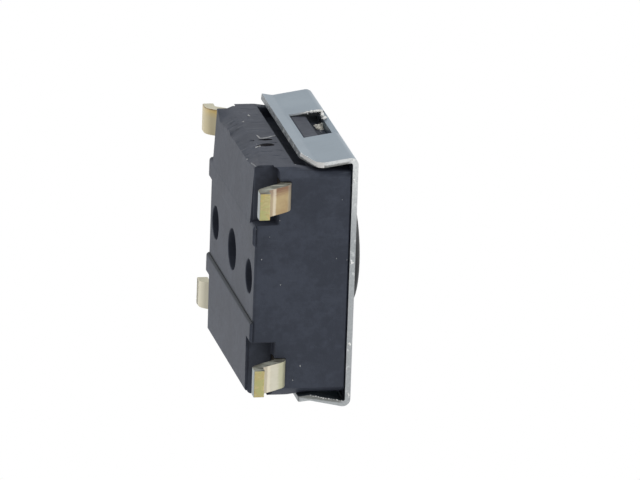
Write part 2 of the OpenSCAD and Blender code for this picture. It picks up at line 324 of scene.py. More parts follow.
# punched cuts in the flaps, burnished along their outer edge and darker below it; in the window the part
# below is a painted shadow, and the burnished part carries painted light
windowLook = {
    # painted shadow: the wall below the burnished edge is near black; painted light: the burnished part is as
    # pale as the lit flap
    "sheet": (0.80, 0.86, 0.90), "glint": (0.97, 0.97, 0.95), "tornAndShade": (0.05, 0.055, 0.06),
    "face": flapFace, "burnish": (0.06, 0.10), "shine": (2.05, 2.35),
}
slantLook = {
    # painted light: the burnished part is as pale as the lit flap; below it the cut is darker
    "sheet": (0.80, 0.86, 0.90), "glint": (0.97, 0.97, 0.95), "tornAndShade": (0.30, 0.31, 0.32),
    "face": slantFace, "burnish": (0.10, 0.14), "shine": (1.20, 1.30),
}


def faceDepth(f, face):
    # how far a place lies inside a leaning face
    return face["outer"] + f.axis("Z") * face["lean"] - abs(f.axis("Y"))


def cutMetal(f, colour, tornAndShade, shine):
    # painted highlight: less metallic where the glint is painted, so that it stays pale from every side
    relief = f.bump(tornAndShade, 0.5, cutGrain["relief"])
    return f.surface({"Base Color": colour, "Metallic": cutGrain["metallic"] - shine * 0.5,
                      "Roughness": cutGrain["roughness"] + tornAndShade * 0.2, "Normal": relief})


def shearedSteel(name, look):
    f = Finish(name)
    tornAndShade = f.grain(cutGrain["sheared"], 3.0, 0.7)
    shine = f.step(f.axis(look["shineAxis"]) + tornAndShade * 0.05, *look["shine"])
    glintFleck = f.step(f.grain(cutGrain["glintFleck"], 2.0), *cutGrain["fleckLevel"])
    colour = f.mix(f.step(tornAndShade, *cutGrain["brightLevel"]), look["dull"], look["bright"])
    # painted highlights: random flecks and the shining stretch take the glint colour
    colour = f.mix(glintFleck * 0.7, colour, look["glint"])
    colour = f.mix(shine * (0.6 + 0.4 * f.step(tornAndShade, *cutGrain["glintLevel"])), colour, look["glint"])
    if "flank" in look:
        flank = look["flank"]
        inner = f.step(faceDepth(f, flapFace) + tornAndShade * 0.06, *flank["depth"])
        inner = inner * f.step(abs(f.axis("Y")), *flank["start"])
        inner = inner * (1 - f.step(f.axis("Z"), *flank["top"]))
        colour = f.mix(inner, colour, flank["tone"])
    return cutMetal(f, colour, tornAndShade, shine)


def punchedSteel(name, look):
    f = Finish(name)
    tornAndShade = f.grain(cutGrain["punched"], 3.0, 0.7)
    burnish = 1 - f.step(faceDepth(f, look["face"]) + tornAndShade * 0.06, *look["burnish"])
    shine = f.step(f.axis("Z") + tornAndShade * 0.2, *look["shine"])
    # painted shadow below the window's burnished edge, painted light on the burnished part, and a painted
    # highlight where it shines
    colour = f.mix(burnish, look["tornAndShade"], f.mix(shine, look["sheet"], look["glint"]))
    return cutMetal(f, colour, tornAndShade, shine * burnish)


# finishes of the contacts

contactLook = {
    "plate": (0.60, 0.575, 0.475),
    "plateDull": (0.51, 0.475, 0.36),
    "farPlate": (0.64, 0.565, 0.375),
    "farPale": (0.74, 0.70, 0.56),
    "farSide": (0.52, 0.50, 0.36),
    "gold": (0.80, 0.58, 0.20),
    "tin": (0.34, 0.38, 0.39),
    # painted shade below the heel and a painted highlight along the bend, standing in for the bend's own
    # shading
    "heelShade": (0.40, 0.34, 0.26),
    "bend": (0.74, 0.68, 0.55),
    "tan": (0.46, 0.36, 0.195),
    "tanDark": (0.35, 0.24, 0.125),
    "copper": (0.21, 0.11, 0.07),
    "green": (0.40, 0.41, 0.24),
    "brass": (0.67, 0.60, 0.30),
    "brassDark": (0.50, 0.40, 0.17),
    "brassGold": (0.66, 0.52, 0.20),
    "brassGreen": (0.55, 0.56, 0.24),
    "side": (0.22, 0.22, 0.18),
    "sidePale": (0.54, 0.55, 0.47),
    "sideDark": (0.13, 0.105, 0.075),
    # painted shade of the strip where it lies in the pocket
    "root": (0.06, 0.05, 0.04),
}

# where the leads change their look, as ranges along the axis at the end of each name
leadPlaces = {
    "rootX": (3.02, 3.22), "nearX": (2.5, 3.2), "farX": (-1.0, 1.0), "upperY": (1.5, 2.0),
    "kneeZ": (0.76, 0.88), "shoulderZ": (0.84, 0.94), "rimY": (2.58, 2.78),
    "heelShadeZ": (0.42, 0.46), "bendZ": (0.50, 0.56), "tinZ": (0.0, 0.05),
    "giltY": (2.60, 2.80), "giltEndX": (3.40, 3.80), "copperY": (2.76, 2.82),
    "goldY": (-1.0, 1.0),
}

# noise of the leads: scales per millimetre, stretches, then levels of the noise
leadGrain = {
    "stain": 2.2, "stainLevel": (0.35, 0.68), "wipe": (3.0, 16.0, 3.0), "fine": 30.0,
    "tornAndShade": (14.0, 14.0, 6.0), "tornLevel": (0.3, 0.7), "pit": 16.0, "pitLevel": (0.56, 0.72),
    "gold": 4.0, "goldLevel": (0.49, 0.58),
    "green": 5.5, "greenStretch": (1.0, 1.3, 0.8), "greenLevel": (0.48, 0.57),
    "smear": (17.0, 14.0, 3.0), "patch": 2.6, "sideLevels": (0.40, 0.47, 0.52, 0.60),
}


def rooted(f, look, colour):
    # painted shade: the strip is painted dark where it comes out of the moulding, inside the pocket's shade
    return f.mix(1 - f.step(abs(f.axis("X")), *leadPlaces["rootX"]), colour, look["root"])


def nearPlate(f, look, upper, wipe):
    # pale on the lower lead and tarnished on the upper one, with painted shade below the heel and a painted
    # highlight along the bend above it, and grey on the sole
    stain = f.step(f.grain(leadGrain["stain"], 3.0, 0.6), *leadGrain["stainLevel"])
    pale = f.mix(stain * 0.7 + wipe * 0.3, look["plate"], look["plateDull"])
    knee = f.step(f.axis("Z") + wipe * 0.1, *leadPlaces["kneeZ"])
    pale = f.mix(knee * 0.55, pale, look["green"])
    tarnished = f.mix(stain * 0.5 + wipe * 0.5, look["tan"], look["tanDark"])
    rim = f.step(f.axis("Y") + wipe * 0.16, *leadPlaces["rimY"])
    tarnished = f.mix(rim * 0.9, tarnished, look["copper"])
    shoulder = f.step(f.axis("Z"), *leadPlaces["shoulderZ"])
    tarnished = f.mix(shoulder * 0.45, tarnished, look["plate"])
    colour = f.mix(upper, pale, tarnished)
    smeared = f.axis("Z") + wipe * 0.04
    aboveHeel = f.step(smeared, *leadPlaces["heelShadeZ"])
    bend = aboveHeel * (1 - f.step(smeared, *leadPlaces["bendZ"]))
    # painted shade below the heel line, and a painted highlight along the bend above it
    colour = f.mix(aboveHeel, f.mix(0.5, colour, look["heelShade"]), colour)
    colour = f.mix(bend * 0.6, colour, look["bend"])
    return f.mix(f.step(f.axis("Z"), *leadPlaces["tinZ"]), look["tin"], colour)


def farPlate(f, look, upper, wipe):
    # the upper lead is golden towards its edge, with a copper line along it
    colour = f.mix(upper, look["farPale"], look["farPlate"])
    fading = 0.9 - 0.7 * f.step(f.axis("X"), *leadPlaces["giltEndX"])
    gilt = f.step(f.axis("Y") + wipe * 0.2, *leadPlaces["giltY"]) * fading
    colour = f.mix(gilt, colour, look["gold"])
    line = f.step(f.axis("Y") + wipe * 0.1, *leadPlaces["copperY"])
    return f.mix(line * 0.8, colour, look["copper"])


def platedStrip(name, look):
    f = Finish(name)
    wipe = f.grain(1.0, 3.0, 0.6, f.stretched(*leadGrain["wipe"]))
    upper = f.step(f.axis("Y"), *leadPlaces["upperY"])
    near = f.step(0 - f.axis("X"), *leadPlaces["nearX"])
    colour = f.mix(near, farPlate(f, look, upper, wipe), nearPlate(f, look, upper, wipe))
    relief = f.bump(f.grain(leadGrain["fine"], 3.0), 0.2, 0.004)
    return f.surface({"Base Color": rooted(f, look, colour), "Metallic": 0.6, "Roughness": 0.38 + wipe * 0.15,
                      "Normal": relief})


def bareBrass(name, look):
    f = Finish(name)
    tornAndShade = f.grain(1.0, 3.0, 0.7, f.stretched(*leadGrain["tornAndShade"]))
    pit = f.step(f.grain(leadGrain["pit"], 2.0), *leadGrain["pitLevel"])
    darkened = f.step(tornAndShade, *leadGrain["tornLevel"]) * 0.5 + pit * 0.5
    colour = f.mix(darkened, look["brass"], look["brassDark"])
    towardUpper = 0.3 + 0.5 * f.step(f.axis("Y"), *leadPlaces["goldY"])
    gilded = f.step(f.grain(leadGrain["gold"], 3.0, 0.6), *leadGrain["goldLevel"]) * towardUpper
    colour = f.mix(gilded, colour, look["brassGold"])
    cloud = f.grain(leadGrain["green"], 2.0, 0.5, f.stretched(*leadGrain["greenStretch"]))
    colour = f.mix(f.step(cloud, *leadGrain["greenLevel"]) * 0.7, colour, look["brassGreen"])
    return f.surface({"Base Color": colour, "Metallic": 0.35, "Roughness": 0.45 + tornAndShade * 0.2,
                      "Normal": f.bump(tornAndShade, 0.4, 0.01)})


def shearedSide(name, look):
    f = Finish(name)
    smear = f.grain(1.0, 3.0, 0.6, f.stretched(*leadGrain["smear"]))
    patch = f.grain(leadGrain["patch"], 2.0, 0.4)
    tones = (look["sideDark"], look["side"], look["side"], look["sidePale"])
    near = f.ramp(smear * 0.45 + patch * 0.55, list(zip(leadGrain["sideLevels"], tones)))
    far = f.mix(patch, look["farSide"], look["farPale"])
    colour = f.mix(f.step(f.axis("X"), *leadPlaces["farX"]), near, far)
    return f.surface({"Base Color": rooted(f, look, colour), "Metallic": 0.5, "Roughness": 0.4 + smear * 0.2,
                      "Normal": f.bump(smear, 0.3, 0.008)})


basePlastic = mouldedPlastic("basePlastic", plasticLook)
tornPlastic = mouldedPlastic("tornPlastic", gougeShadeLook)
buttonPlastic = mouldedPlastic("buttonPlastic", buttonLook)
sealRubber = mouldedPlastic("sealRubber", sealLook)
coverSteel = satinSteel("coverSteel", steelLook)
coverEnd = shearedSteel("coverEnd", endLook)
burrSteel = shearedSteel("burrSteel", burrGlintLook)
lipEdge = shearedSteel("lipEdge", lipLook)
windowEdge = punchedSteel("windowEdge", windowLook)
slantEdge = punchedSteel("slantEdge", slantLook)
domeSteel = satinSteel("domeSteel", domeLook)
contactPlate = platedStrip("contactPlate", contactLook)
contactEnd = bareBrass("contactEnd", contactLook)
contactSide = shearedSide("contactSide", contactLook)
dustGrey = mouldedPlastic("dustGrey", dustLook)
burrGrey = mouldedPlastic("burrGrey", burrAndHighlightLook)
flakeIvory = mouldedPlastic("flakeIvory", litFlakeLook)
print("finishes made")


# pieces taken over from the frame, with softened edges

edgeRule = {
    "merge": 0.0001,  # corners as near as this become one
    "flat": 0.6,  # degrees between faces that are joined into one
    "sharp": 28.0,  # degrees above which an edge is rounded
    "room": 2.5,  # edges this many widths long leave room for the whole width
    "least": 0.35,  # share of the width below which an edge stays as it is
    "segments": 2,
    "spread": 50.0,  # degrees between faces that are shaded together
}
softWidth = {"base": 0.03, "contact": 0.025, "button": 0.02, "thin": 0.0}  # thin pieces stay crisp


def plainMesh(piece):
    # what the modifiers make becomes the piece's own mesh
    bpy.context.view_layer.update()
    evaluated = piece.evaluated_get(bpy.context.evaluated_depsgraph_get())
    finished = bpy.data.meshes.new_from_object(evaluated)
    piece.modifiers.clear()
    piece.data = finished
    return finished


def placed(name, mesh):
    piece = bpy.data.objects.new(name, mesh)
    bpy.context.scene.collection.objects.link(piece)
    return piece


def evenShading(mesh):
    # a corner's normal is the mean of the faces round it within the spread, the large ones counting most
    around = [[] for vertex in mesh.vertices]
    for face in mesh.polygons:
        for index in face.vertices:
            around[index].append((face.normal.copy(), face.area))
    limit = math.cos(math.radians(edgeRule["spread"]))
    normals = []
    for face in mesh.polygons:
        for index in face.vertices:
            alike = [normal * area for normal, area in around[index] if normal.dot(face.normal) > limit]
            total = sum(alike, Vector())
            normals.append(total.normalized() if total.length else face.normal.copy())
    mesh.polygons.foreach_set("use_smooth", [True] * len(mesh.polygons))
    mesh.normals_split_custom_set(normals)


def volume(mesh):
    work = bmesh.new()
    work.from_mesh(mesh)
    amount = work.calc_volume(signed=True)
    work.free()
    return amount


def shaped(piece, operation, tool, most=0.05):
    # adds or cuts one tool, and keeps the result only if the volume changed as little as it should
    before = piece.data
    change = piece.modifiers.new(tool.name, "BOOLEAN")
    change.operation = operation
    change.solver = "EXACT"
    change.object = tool
    share = volume(plainMesh(piece)) / volume(before)
    if abs(share - 1) > most:
        piece.data = before
    print(tool.name, "changed the volume to", round(share, 4))
    bpy.data.objects.remove(tool)


def weighEdges(work, width):
    # sharp edges are rounded, less where the edges next to them are short
    weight = work.edges.layers.float.new("bevel_weight_edge")
    for edge in work.edges:
        if edge.calc_face_angle(0.0) > math.radians(edgeRule["sharp"]):
            shortest = min(near.calc_length() for corner in edge.verts for near in corner.link_edges)
            share = shortest / (edgeRule["room"] * width * mm)
            edge[weight] = min(1.0, share) if share > edgeRule["least"] else 0.0


def softCopy(node, width, tools=()):
    # a merged copy of a node with rounded edges, and with what the tools add or cut
    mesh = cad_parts[node].data.copy()
    work = bmesh.new()
    work.from_mesh(mesh)
    bmesh.ops.remove_doubles(work, verts=work.verts, dist=edgeRule["merge"] * mm)
    flat = math.radians(edgeRule["flat"])
    bmesh.ops.dissolve_limit(work, angle_limit=flat, verts=work.verts, edges=work.edges)
    bmesh.ops.recalc_face_normals(work, faces=work.faces)
    if width:
        weighEdges(work, width)
    work.to_mesh(mesh)
    work.free()
    mesh.materials.clear()
    piece = placed(node + "Piece", mesh)
    if width:
        soft = piece.modifiers.new("softEdges", "BEVEL")
        soft.width = width * mm
        soft.segments = edgeRule["segments"]
        soft.limit_method = "WEIGHT"
        soft.use_clamp_overlap = False
    plainMesh(piece)
    for operation, tool in tools:
        shaped(piece, operation, tool)
    evenShading(piece.data)
    return piece


def coat(piece, finishes, choose=None):
    for finish in finishes:
        piece.data.materials.append(finish)
    if choose:
        for face in piece.data.polygons:
            face.material_index = choose(face.center / mm, face.normal)


def settle(piece, body, node=None):
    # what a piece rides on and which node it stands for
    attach(piece, body)
    if node:
        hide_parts(node)


# base

baseWear = {
    # bands of the underside outside the ribs, nearly level with them: distance from the middle and height
    "bands": {1: [(1.42, 0.036), (3.0, 0.112)], -1: [(1.42, 0.036), (2.99, 0.045), (3.03, 0.08)]},
    "bandRoot": 0.14, "bandReach": 2.64,
    # edge of the underside at +Y, trimmed unevenly: inset from the side and rise from the underside
    "trimSide": 3.1, "trimUnder": 0.11,
    "trimStations": [
        (-3.1, [(0.05, 0.0), (0.03, 0.02), (0.01, 0.04), (0.0, 0.05)]),
        (-2.6, [(0.06, 0.0), (0.04, 0.04), (0.02, 0.08), (0.0, 0.12)]),
        (-1.7, [(0.17, 0.0), (0.11, 0.12), (0.06, 0.23), (0.0, 0.35)]),
        (0.0, [(0.16, 0.0), (0.11, 0.12), (0.06, 0.23), (0.0, 0.35)]),
        (2.1, [(0.24, 0.0), (0.13, 0.10), (0.06, 0.24), (0.0, 0.36)]),
        (2.6, [(0.08, 0.0), (0.06, 0.04), (0.06, 0.28), (0.0, 0.42)]),
        (3.1, [(0.08, 0.0), (0.06, 0.04), (0.06, 0.28), (0.0, 0.42)]),
    ],
    "trimSteps": 90, "trimOvershoot": 0.3,
    "trimWander": 0.09, "trimInset": 0.17,  # the line wavers by this much where it lies this far in
    "trimWaves": [(1.6, 3.7, 1.0), (4.2, 8.1, 0.2)],  # rate along X, place in the noise, share
    # gouges in that side: start, end, width, depth
    "gougeCorners": 11, "gougeRagged": 0.9, "gougeNoise": (3.1, 7.0, 5.0),
    "gougeSlim": 0.35, "gougeDeepest": 0.3,
    "gouges": [
        ((-0.42, 3.10, 0.62), (-0.40, 3.10, 1.02), 0.20, 0.16),
        ((-0.93, 3.10, 0.48), (-0.87, 3.10, 0.98), 0.34, 0.20),
        ((-0.40, 3.07, 0.14), (-0.46, 3.10, 0.54), 0.18, 0.035),
        ((-0.98, 3.08, 0.14), (-0.95, 3.10, 0.46), 0.12, 0.04),
        ((-1.42, 3.10, 0.40), (-1.45, 3.10, 0.86), 0.06, 0.03),
        ((-0.60, 3.10, 0.86), (-0.70, 3.10, 1.10), 0.04, 0.03),
        ((-1.22, 3.10, 0.52), (-1.18, 3.10, 0.74), 0.03, 0.02),
        ((-1.30, 3.10, 0.90), (-1.40, 3.10, 1.12), 0.05, 0.03),
        ((-1.78, 3.10, 0.62), (-1.84, 3.10, 1.00), 0.05, 0.02),
        ((-2.12, 3.10, 0.80), (-2.16, 3.10, 1.13), 0.04, 0.02),
    ],
    # patch whose gouge walls take a painted shade: X and Z of its corners, depth, and how far its walls turn
    "gougeShadeCorners": ((-1.12, 0.45), (-0.28, 1.05)), "gougeShadeDepth": (0.004, 0.3), "gougeShadeNormal": 0.95,
    "fibre": [[(0.04, 3.10, 0.66), (-0.14, 3.10, 0.69), (-0.29, 3.10, 0.70), (-0.31, 3.10, 0.78),
               (-0.26, 3.10, 0.90), (-0.19, 3.10, 0.99), (-0.12, 3.10, 1.07), (-0.09, 3.10, 1.16)]],
    "fibreRidge": {"radius": 0.022, "wander": 0.03},
    "edgeBurrAndHighlight": [[(-2.06, 2.985, 0.13), (-2.35, 3.025, 0.14), (-2.68, 3.062, 0.15)],
                 [(-1.55, 2.94, 0.12), (-1.65, 2.935, 0.12)],
                 # a painted highlight along the lug's crest
                 [(0.84, 2.999, 2.46), (0.62, 2.999, 2.47), (0.40, 2.999, 2.49)]],
    "edgeRidge": {"radius": 0.020, "wander": 0.02},
    "speck": [[(1.75, 3.1, 0.77), (1.72, 3.1, 0.81)], [(1.22, 3.1, 0.51), (1.20, 3.1, 0.56)],
              [(-1.07, 3.1, 0.45), (-0.98, 3.1, 0.57)], [(-3.1, -2.27, 1.40), (-3.1, -2.24, 1.41)]],
    "speckGrain": {"spacing": 0.022, "size": 0.020, "wander": 0.006, "seed": 11},
    "dust": {"density": 0.5, "size": 0.015, "seed": 4},
    "dustDepth": 0.15,  # faces as near as this to the outer sides carry dust
}


def closedMesh(name, points, faces):
    mesh = bpy.data.meshes.new(name)
    mesh.from_pydata([Vector(point) * mm for point in points], [], faces)
    work = bmesh.new()
    work.from_mesh(mesh)
    bmesh.ops.recalc_face_normals(work, faces=work.faces)
    work.to_mesh(mesh)
    work.free()
    return placed(name, mesh)


def ringFaces(first, count):
    # faces between one ring of corners and the next
    faces = []
    for corner in range(count):
        after = (corner + 1) % count
        faces.append((first + corner, first + after, first + count + after, first + count + corner))
    return faces


def bandFill(look):
    # low wedges between the ribs and the outer edges
    points, faces = [], []
    for side, profile in look["bands"].items():
        outline = [*profile, (profile[-1][0], look["bandRoot"]), (profile[0][0], look["bandRoot"])]
        first, count = len(points), len(outline)
        for x in (-look["bandReach"], look["bandReach"]):
            points += [(x, side * y, z) for y, z in outline]
        faces += [tuple(range(first, first + count)), tuple(range(first + count, first + 2 * count))]
        faces += ringFaces(first, count)
    return closedMesh("band", points, faces)


def trimSection(stations, x):
    # section of the trimmed edge at a place along X
    for (x0, before), (x1, after) in zip(stations, stations[1:]):
        if x <= x1:
            share = (x - x0) / (x1 - x0)
            return [Vector(a).lerp(Vector(b), share) for a, b in zip(before, after)]
    return [Vector(place) for place in stations[-1][1]]


def trimCutter(look):
    # bar that takes the underside's edge at +Y off along a wavering line
    first, last = look["trimStations"][0][0], look["trimStations"][-1][0]
    points, sides = [], len(look["trimStations"][0][1]) + 1
    for step in range(look["trimSteps"] + 1):
        x = first + (last - first) * step / look["trimSteps"]
        section = trimSection(look["trimStations"], x)
        waver = sum(share * noise.noise((x * rate, place, 0.0)) for rate, place, share in look["trimWaves"])
        section[0].x *= 1 + waver * look["trimWander"] / look["trimInset"]
        places = [Vector((look["trimSide"] - inset, look["trimUnder"] + rise)) for inset, rise in section]
        places[0] += look["trimOvershoot"] * (places[0] - places[1])
        places[-1] += look["trimOvershoot"] * (places[-1] - places[-2])
        places.append(Vector((places[-1].x, places[0].y)))
        points += [(x, *place) for place in places]
    faces = [tuple(range(sides)), tuple(range(len(points) - sides, len(points)))]
    for ring in range(0, len(points) - sides, sides):
        faces += ringFaces(ring, sides)
    return closedMesh("trim", points, faces)


def gougeCutter(look):
    # ragged hollows in the side at +Y, slimmer towards their start
    points, faces = [], []
    count, slim = look["gougeCorners"], look["gougeSlim"]
    turnRate, alongRate, upRate = look["gougeNoise"]
    for start, end, width, depth in look["gouges"]:
        start, end, inward = Vector(start), Vector(end), Vector((0, depth, 0))
        middle, along = start.lerp(end, 0.5), (end - start) / 2
        across = along.cross(inward).normalized() * width / 2
        first = len(points)
        for corner in range(count):
            turn = math.tau * corner / count
            spot = (turn * turnRate, start.x * alongRate, start.z * upRate)
            ragged = 1 + look["gougeRagged"] * noise.noise(spot)
            taper = (1 - slim) + slim * math.cos(turn)
            points.append(middle + along * math.cos(turn) + across * math.sin(turn) * taper * ragged)
        deepest = middle + along * look["gougeDeepest"]
        points += [deepest + inward, deepest - inward]
        for corner in range(count):
            for tip in (count, count + 1):
                faces.append((first + corner, first + (corner + 1) % count, first + tip))
    return closedMesh("gouges", points, faces)


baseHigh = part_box("base")[1] / mm
baseTools = [
    ("UNION", bandFill(baseWear)),
    ("DIFFERENCE", trimCutter(baseWear)),
    ("DIFFERENCE", gougeCutter(baseWear)),
]
base = softCopy("base", softWidth["base"], baseTools)


def baseFace(centre, normal):
    # 1 for the walls of the gouges, painted near black as painted shade
    (x0, z0), (x1, z1) = baseWear["gougeShadeCorners"]
    least, most = baseWear["gougeShadeDepth"]
    inPatch = x0 < centre.x < x1 and z0 < centre.z < z1
    inPatch = inPatch and baseHigh.y - most < centre.y < baseHigh.y - least
    return 1 if inPatch and normal.y < baseWear["gougeShadeNormal"] else 0


coat(base, [basePlastic, tornPlastic], baseFace)
settle(base, "housing", "base")


# cover

coverCut = {
    "lean": 0.3, "lipLean": 0.5,  # least part of the normal, along X or down, that makes a face a cut
    "windowReach": 1.5, "flapDepth": 0.5, "lipHeight": 0.1,
}
cover = softCopy("cover", softWidth["thin"])
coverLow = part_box("cover")[0] / mm


def coverFace(centre, normal):
    # which finish a face of the sheet takes: 0 for its broad faces
    if abs(normal.x) > coverCut["lean"]:
        if abs(centre.x) < coverCut["windowReach"]:
            return 3 if abs(centre.y) > abs(coverLow.y) - coverCut["flapDepth"] else 0
        return 4 if normal.z < -coverCut["lean"] else 1
    atLip = centre.z < coverLow.z + coverCut["lipHeight"]
    return 2 if atLip and normal.z < -coverCut["lipLean"] else 0


coat(cover, [coverSteel, coverEnd, lipEdge, windowEdge, slantEdge], coverFace)
settle(cover, "housing", "cover")


# contacts

contactCut = {"end": 0.01, "sideLean": 0.6}  # depth of a cut end, least part of a side's normal along Y
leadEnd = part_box("rim_contact")[1].x / mm


def contactFace(centre, normal):
    # 1 for the cut ends of the leads, 2 for their sheared sides, 0 for the plated strip
    if abs(centre.x) > leadEnd - contactCut["end"]:
        return 1
    return 2 if abs(normal.y) > contactCut["sideLean"] else 0


for node in ("centre_contact", "rim_contact"):
    contact = softCopy(node, softWidth["contact"])
    coat(contact, [contactPlate, contactEnd, contactSide], contactFace)
    settle(contact, "housing", node)


# button, dome and seal

button = softCopy("button", softWidth["button"])
coat(button, [buttonPlastic])
settle(button, "button", "button")

# in the real switch the dome flattens under the button and the seal's pad goes down with it; here both keep
# their shape
dome = softCopy("snap_dome", softWidth["thin"])
coat(dome, [domeSteel])
settle(dome, "housing", "snap_dome")
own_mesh(dome)

seal = softCopy("seal_membrane", softWidth["thin"])
coat(seal, [sealRubber])
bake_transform(seal)
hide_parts("seal_membrane")
print("pieces made")


# burrs, specks and a flake partly coloured as painted highlights, the fibre and dust

# least and most are radii as shares of the size, noise scales are per metre
lumpShape = {"least": (0.3, 0.3, 0.2), "most": (1.9, 1.1, 0.9), "turn": (6.28, 6.28, 6.28),
             "subdivisions": 2, "dentScale": 30000.0, "dent": 1.8}
ridgeShape = {"steps": 60, "sides": 8, "waverScale": 9000.0}
flakeShape = {"least": (0.4, 0.4, 0.3), "most": (1.5, 1.0, 0.5), "subdivisions": 1}


def lumpOf(g, shape):
    sockets = {"Radius": 1.0, "Subdivisions": shape["subdivisions"]}
    return g.node("GeometryNodeMeshIcoSphere", {}, sockets)


def grainTree(name, material):
    # uneven lumps set along a path, each turned and sized by chance
    g = Growth(name, ["spacing", "size", "wander", "seed"])
    path = g.node("GeometryNodeMeshToCurve", {}, {"Mesh": g.given("Geometry")})
    even = g.node("GeometryNodeResampleCurve", {"mode": "LENGTH"},
                  {"Curve": path, "Length": g.given("spacing")})
    drift = g.vector("SCALE", g.chance((-1, -1, -1), (1, 1, 1), g.given("seed")), g.given("wander"))
    loose = g.node("GeometryNodeSetPosition", {}, {"Geometry": even, "Offset": drift})
    turn = g.chance((0, 0, 0), lumpShape["turn"], g.given("seed") + 1)
    radii = g.chance(lumpShape["least"], lumpShape["most"], g.given("seed") + 2)
    lumps = g.node("GeometryNodeInstanceOnPoints", {},
                   {"Points": loose, "Instance": lumpOf(g, lumpShape), "Rotation": turn,
                    "Scale": g.vector("SCALE", radii, g.given("size"))})
    whole = g.node("GeometryNodeRealizeInstances", {}, {"Geometry": lumps})
    uneven = g.drifted(whole, lumpShape["dentScale"], g.given("size") * lumpShape["dent"])
    return g.finish(uneven, material)


def ridgeTree(name, material):
    # a round ridge along a path, thin at both ends
    g = Growth(name, ["radius", "wander"])
    path = g.node("GeometryNodeMeshToCurve", {}, {"Mesh": g.given("Geometry")})
    even = g.node("GeometryNodeResampleCurve", {"mode": "COUNT"},
                  {"Curve": path, "Count": ridgeShape["steps"]})
    loose = g.drifted(even, ridgeShape["waverScale"], g.given("wander"))
    share = g.node("GeometryNodeSplineParameter", out="Factor")
    thick = g.given("radius") * ((share * (1 - share) * 4) ** 0.5)
    ring = g.node("GeometryNodeCurvePrimitiveCircle", {}, {"Resolution": ridgeShape["sides"], "Radius": 1.0})
    tube = g.node("GeometryNodeCurveToMesh", {},
                  {"Curve": loose, "Profile Curve": ring, "Scale": thick, "Fill Caps": True})
    return g.finish(tube, material)


def dustTree(name, material):
    # flat flakes strewn over faces
    g = Growth(name, ["density", "size", "seed"])
    sockets = {"Mesh": g.given("Geometry"), "Density": g.given("density"), "Seed": g.given("seed")}
    spots = g.node("GeometryNodeDistributePointsOnFaces", {}, sockets, "Points")
    radii = g.chance(flakeShape["least"], flakeShape["most"], g.given("seed") + 1)
    flakes = g.node("GeometryNodeInstanceOnPoints", {},
                    {"Points": spots, "Instance": lumpOf(g, flakeShape), "Rotation": spots.other("Rotation"),
                     "Scale": g.vector("SCALE", radii, g.given("size"))})
    return g.finish(flakes, material)


def pathMesh(name, paths):
    mesh = bpy.data.meshes.new(name)
    points, edges = [], []
    for path in paths:
        edges += [(len(points) + step, len(points) + step + 1) for step in range(len(path) - 1)]
        points += [Vector(place) * mm for place in path]
    mesh.from_pydata(points, edges, [])
    return mesh


def outerFaces(piece, high, depth):
    # a copy of the faces that lie on the piece's outer sides
    mesh = piece.data.copy()
    work = bmesh.new()
    work.from_mesh(mesh)
    limit = (high.x - depth) * mm
    hidden = [face for face in work.faces if max(map(abs, face.calc_center_median().xy)) < limit]
    bmesh.ops.delete(work, geom=hidden, context="FACES")
    work.to_mesh(mesh)
    work.free()
    return mesh


def grown(name, carrier, tree, values):
    # what the tree makes on the carrier, kept as a plain mesh
    piece = placed(name, carrier)
    growth = piece.modifiers.new(name, "NODES")
    growth.node_group = tree
    units = {"seed": 1.0, "density": mm ** -2}
    for item in tree.interface.items_tree:
        if item.in_out == "INPUT" and item.name in values:
            growth[item.identifier] = float(values[item.name] * units.get(item.name, mm))
    plainMesh(piece)
    settle(piece, "housing")


# burrs and specks on the cover's cuts, coloured near white as painted highlights
coverWear = {
    "windowBurr": [[(1.265, 3.300, 2.20), (1.265, 3.335, 2.40), (1.265, 3.340, 2.55), (1.262, 3.325, 2.64)]],
    "windowGrain": {"spacing": 0.04, "size": 0.030, "wander": 0.012, "seed": 3},
    "bendBurr": [[(1.24, 3.285, 2.640), (1.12, 3.265, 2.640), (1.02, 3.252, 2.640), (0.90, 3.252, 2.640),
                  (0.78, 3.268, 2.655)]],
    "bendGrain": {"spacing": 0.04, "size": 0.060, "wander": 0.010, "seed": 6},
    "flapBurr": [[(-3.125, -3.055, 1.70), (-3.125, -3.150, 2.10), (-3.125, -3.233, 2.54)],
                 [(-2.29, 3.29, 1.40), (-2.60, 3.27, 1.52), (-3.03, 3.18, 1.77)]],
    "flapGrain": {"spacing": 0.07, "size": 0.018, "wander": 0.008, "seed": 8},
    "glintSpeck": [[(-3.125, 2.78, 2.66), (-3.125, 2.73, 2.69)], [(-3.125, 0.60, 2.65), (-3.125, 0.52, 2.67)],
             [(-3.125, -1.66, 2.69), (-3.125, -1.70, 2.70)], [(-3.125, 3.31, 2.62), (-3.125, 3.29, 2.57)],
             [(-3.125, -3.03, 2.70), (-3.125, -3.09, 2.71)]],
    "glintSpeckGrain": {"spacing": 0.03, "size": 0.032, "wander": 0.010, "seed": 5},
    "lugFlake": [[(1.03, 2.999, 2.49), (0.96, 2.999, 2.54), (0.89, 2.999, 2.56)],
                 [(0.80, 2.999, 2.47), (0.66, 2.999, 2.48)]],
    "flakeGrain": {"spacing": 0.035, "size": 0.075, "wander": 0.02, "seed": 2},
}

